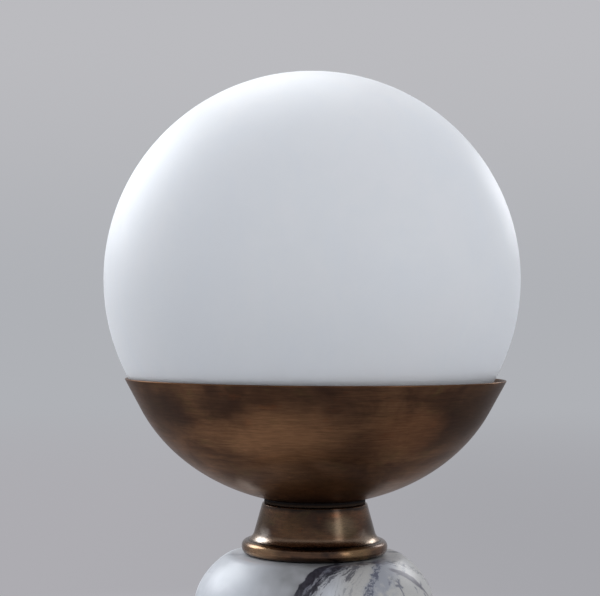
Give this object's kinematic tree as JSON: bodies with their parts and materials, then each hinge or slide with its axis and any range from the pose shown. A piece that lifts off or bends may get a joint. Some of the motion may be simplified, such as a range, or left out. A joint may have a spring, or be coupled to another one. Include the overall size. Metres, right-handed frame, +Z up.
{
  "type": "glass globe table lamp",
  "caption": "Table lamp: opal glass globe loose in a dark bronze bowl, over a flared neck, a squashed veined marble ball and a round weighted base with a rear cord inlet.",
  "frame": {"origin": "centre of the felt's underside, on the table", "axes": "+Z up along the rod; +Y towards the back, where the cord inlet is; +X to the right seen from the front"},
  "size_m": [0.1999, 0.2, 0.3307],
  "materials": {
    "felt": "dense black felt",
    "plated_steel": "dark lacquered pressed steel",
    "zinc_steel": "zinc-plated steel",
    "iron": "rough grey iron casting",
    "bronze": "brushed dark bronze, satin lacquer",
    "black_plastic": "moulded nylon, satin",
    "white_plastic": "natural nylon",
    "black_rubber": "matt black rubber",
    "clear_rubber": "translucent silicone",
    "marble": "polished white marble with dark grey veins",
    "holder_plastic": "heat-proof moulded plastic",
    "porcelain": "unglazed porcelain",
    "contact_brass": "stamped brass",
    "tip_metal": "tinned contact",
    "black_glass": "black glass insulator",
    "bulb_cap_metal": "nickel-plated screw cap",
    "bulb_plastic": "white moulded housing",
    "board_aluminium": "white-coated board",
    "frosted_plastic": "frosted diffuser",
    "opal_glass": "blown white opal glass, satin outside"
  },
  "bodies": {
    "lamp": {"felt_pad": "felt", "base_cover": "plated_steel", "base_cover_screws": "zinc_steel", "base_weight": "iron", "base_shell": "bronze", "cord_bushing": "black_plastic", "cord_bushing_nut": "black_plastic", "rod": "zinc_steel", "rod_nut_lower": "zinc_steel", "rod_washer_lower": "zinc_steel", "lower_bell": "bronze", "lower_bead_ring": "bronze", "marble_gasket_lower": "black_rubber", "marble_bush_lower": "white_plastic", "marble_body": "marble", "marble_bush_upper": "white_plastic", "marble_gasket_upper": "black_rubber", "upper_bead_ring": "bronze", "upper_bell": "bronze", "cup_gasket": "black_rubber", "cup": "bronze", "rod_washer_upper": "zinc_steel", "rod_nut_upper": "zinc_steel", "globe_gallery": "plated_steel", "globe_gasket": "clear_rubber", "lampholder_cap": "holder_plastic", "lampholder_skirt": "holder_plastic", "lampholder_insert": "porcelain", "lampholder_screw_shell": "contact_brass", "lampholder_centre_contact": "contact_brass", "lampholder_terminal_screws": "contact_brass"},
    "globe": {"globe": "opal_glass"},
    "bulb": {"bulb_tip_contact": "tip_metal", "bulb_insulator": "black_glass", "bulb_cap": "bulb_cap_metal", "bulb_body": "bulb_plastic", "bulb_board": "board_aluminium", "bulb_ball": "frosted_plastic"}
  },
  "joints": [
    {"name": "globe_lift", "type": "slide", "parent": "lamp", "child": "globe", "axis": [0, 0, 1], "range_m": [0, 0.18]},
    {"name": "bulb_unscrew", "type": "slide", "parent": "lamp", "child": "bulb", "axis": [0, 0, 1], "range_m": [0, 0.032]}
  ]
}
